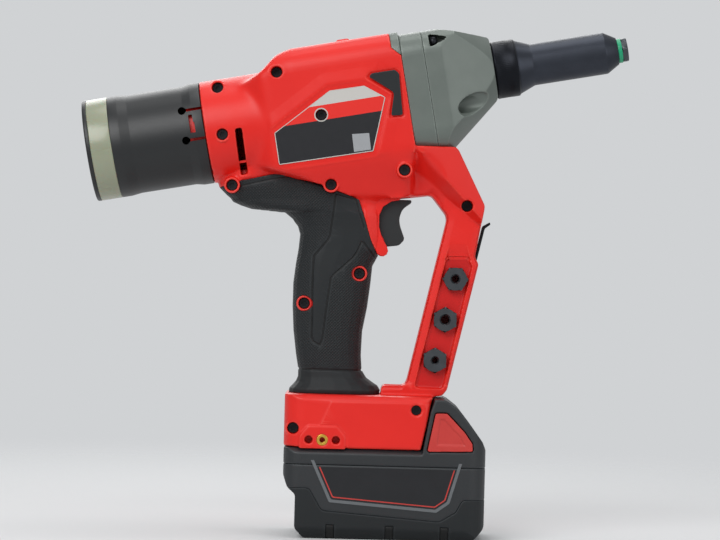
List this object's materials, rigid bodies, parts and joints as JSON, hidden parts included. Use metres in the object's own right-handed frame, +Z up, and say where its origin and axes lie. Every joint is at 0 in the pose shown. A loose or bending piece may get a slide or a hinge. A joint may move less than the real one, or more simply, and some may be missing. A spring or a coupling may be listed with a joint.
{
  "type": "battery rivet tool",
  "caption": "Pistol-grip cordless blind-rivet puller with D-shaped front guard, stored nosepieces, twist-off mandrel cup at the rear and slide-on battery foot that it stands on",
  "frame": {"origin": "centre of the battery's flat bottom, which the tool stands on", "axes": "+X to the nose, +Z up; the side with the housing screws is -Y"},
  "size_m": [0.3326, 0.0786, 0.31],
  "materials": {
    "red_nylon": "moulded glass-filled nylon, fine satin grain",
    "grip_rubber": "soft overmoulded rubber, matt",
    "black_nylon": "moulded nylon, satin",
    "clear_ring": "milky translucent polycarbonate",
    "label_film": "printed film, bare of words",
    "cast_paint": "die-cast alloy under grey paint",
    "black_steel": "black oxide finish",
    "bright_steel": "ground and hardened",
    "brass_insert": "turned brass",
    "green_ring": "size colour",
    "battery_nylon": "moulded, satin",
    "battery_rubber": "tough elastomer, matt",
    "cell_wrap": "shrink wrap over steel",
    "board": "populated board, potted",
    "latch_red": "moulded, satin",
    "lens": "light pipes"
  },
  "bodies": {
    "tool": {"housing_right": "red_nylon", "housing_left": "red_nylon", "grip_right": "grip_rubber", "grip_left": "grip_rubber", "bumper_right": "grip_rubber", "bumper_left": "grip_rubber", "rating_label": "label_film", "housing_screws": "black_steel", "hook_inserts": "brass_insert", "gear_case": "cast_paint", "front_cover": "cast_paint", "gear_case_screws": "black_steel", "nose_sleeve": "black_steel", "nosepiece": "black_steel", "nosepiece_ring": "green_ring", "motor_stator": "bright_steel", "motor_end_plates": "black_nylon", "motor_bearings": "bright_steel", "ring_gear": "bright_steel", "nut_bearing": "bright_steel", "thrust_bearing": "bright_steel", "mandrel_liner": "black_nylon", "control_module": "board", "trigger_switch": "black_nylon", "terminal_block": "black_nylon"},
    "cup": {"collection_cup": "black_nylon", "cup_window": "clear_ring", "cup_end_cap": "black_nylon"},
    "trigger": {"trigger": "black_nylon"},
    "rotor": {"motor_rotor": "bright_steel"},
    "carrier": {"planet_carrier": "bright_steel"},
    "planet_1": {"planet_gear_1": "bright_steel"},
    "planet_2": {"planet_gear_2": "bright_steel"},
    "planet_3": {"planet_gear_3": "bright_steel"},
    "nut": {"ball_nut": "bright_steel"},
    "spindle": {"pull_spindle": "bright_steel", "jaw_case": "bright_steel", "jaw_1": "bright_steel", "jaw_2": "bright_steel", "jaw_3": "bright_steel", "jaw_pusher": "bright_steel", "jaw_spring": "bright_steel"},
    "wrench": {"nose_wrench": "black_steel"},
    "spare_1": {"spare_nosepiece_1": "black_steel"},
    "spare_2": {"spare_nosepiece_2": "black_steel"},
    "spare_3": {"spare_nosepiece_3": "black_steel"},
    "battery": {"battery_case_upper": "battery_nylon", "battery_case_lower": "battery_nylon", "battery_boot": "battery_rubber", "battery_label_plates": "label_film", "battery_cells": "cell_wrap", "battery_board": "board", "gauge_lenses": "lens", "battery_screws": "black_steel"},
    "latch_right": {"battery_latch_right": "latch_red"},
    "latch_left": {"battery_latch_left": "latch_red"},
    "gauge": {"gauge_button": "grip_rubber"}
  },
  "joints": [
    {"name": "trigger_pull", "type": "slide", "parent": "tool", "child": "trigger", "axis": [-1, 0, 0], "range_m": [0, 0.006], "stiffness_N_per_m": 1200, "springref_m": -0.002},
    {"name": "cup_twist", "type": "hinge", "parent": "tool", "child": "cup", "pos_m": [0.00182, 0, 0.26417], "axis": [0.9833, 0, 0.1822], "range_deg": [0, 15]},
    {"name": "battery_slide", "type": "slide", "parent": "tool", "child": "battery", "axis": [1, 0, 0], "range_m": [0, 0.08]},
    {"name": "latch_right_press", "type": "slide", "parent": "battery", "child": "latch_right", "axis": [0, 1, 0], "range_m": [0, 0.003], "stiffness_N_per_m": 1500, "springref_m": -0.001},
    {"name": "latch_left_press", "type": "slide", "parent": "battery", "child": "latch_left", "axis": [0, -1, 0], "range_m": [0, 0.003], "stiffness_N_per_m": 1500, "springref_m": -0.001},
    {"name": "gauge_press", "type": "slide", "parent": "battery", "child": "gauge", "axis": [-1, 0, 0], "range_m": [0, 0.001], "stiffness_N_per_m": 1500, "springref_m": -0.0005},
    {"name": "wrench_slide", "type": "slide", "parent": "tool", "child": "wrench", "axis": [0.2194, 0, 0.9756], "range_m": [0, 0.07]},
    {"name": "spare_1_pull", "type": "slide", "parent": "tool", "child": "spare_1", "axis": [0, -1, 0], "range_m": [0, 0.02]},
    {"name": "spare_2_pull", "type": "slide", "parent": "tool", "child": "spare_2", "axis": [0, -1, 0], "range_m": [0, 0.02]},
    {"name": "spare_3_pull", "type": "slide", "parent": "tool", "child": "spare_3", "axis": [0, -1, 0], "range_m": [0, 0.02]},
    {"name": "motor_spin", "type": "hinge", "parent": "tool", "child": "rotor", "pos_m": [0.00492, 0, 0.24745], "axis": [0.9833, 0, 0.1822], "range_deg": [0, 31501]},
    {"name": "carrier_spin", "type": "hinge", "parent": "tool", "child": "carrier", "pos_m": [0.00492, 0, 0.24745], "axis": [0.9833, 0, 0.1822], "range_deg": [0, 6301]},
    {"name": "planet_1_spin", "type": "hinge", "parent": "carrier", "child": "planet_1", "pos_m": [0.00492, 0.0105, 0.24745], "axis": [0.9833, 0, 0.1822], "range_deg": [-16801, 0]},
    {"name": "planet_2_spin", "type": "hinge", "parent": "carrier", "child": "planet_2", "pos_m": [0.00326, -0.00525, 0.25639], "axis": [0.9833, 0, 0.1822], "range_deg": [-16801, 0]},
    {"name": "planet_3_spin", "type": "hinge", "parent": "carrier", "child": "planet_3", "pos_m": [0.00658, -0.00525, 0.23851], "axis": [0.9833, 0, 0.1822], "range_deg": [-16801, 0]},
    {"name": "nut_spin", "type": "hinge", "parent": "tool", "child": "nut", "pos_m": [0, 0, 0.274], "axis": [0.9833, 0, 0.1822], "range_deg": [-1801, 0]},
    {"name": "pull_slide", "type": "slide", "parent": "tool", "child": "spindle", "axis": [-0.9833, 0, -0.1822], "range_m": [0, 0.03]}
  ],
  "couplings": [
    {"joint": "motor_spin", "follows": "pull_slide", "rad_per_m": 18326},
    {"joint": "carrier_spin", "follows": "pull_slide", "rad_per_m": 3665.2},
    {"joint": "planet_1_spin", "follows": "pull_slide", "rad_per_m": -9773.8},
    {"joint": "planet_2_spin", "follows": "pull_slide", "rad_per_m": -9773.8},
    {"joint": "planet_3_spin", "follows": "pull_slide", "rad_per_m": -9773.8},
    {"joint": "nut_spin", "follows": "pull_slide", "rad_per_m": -1047.2}
  ]
}
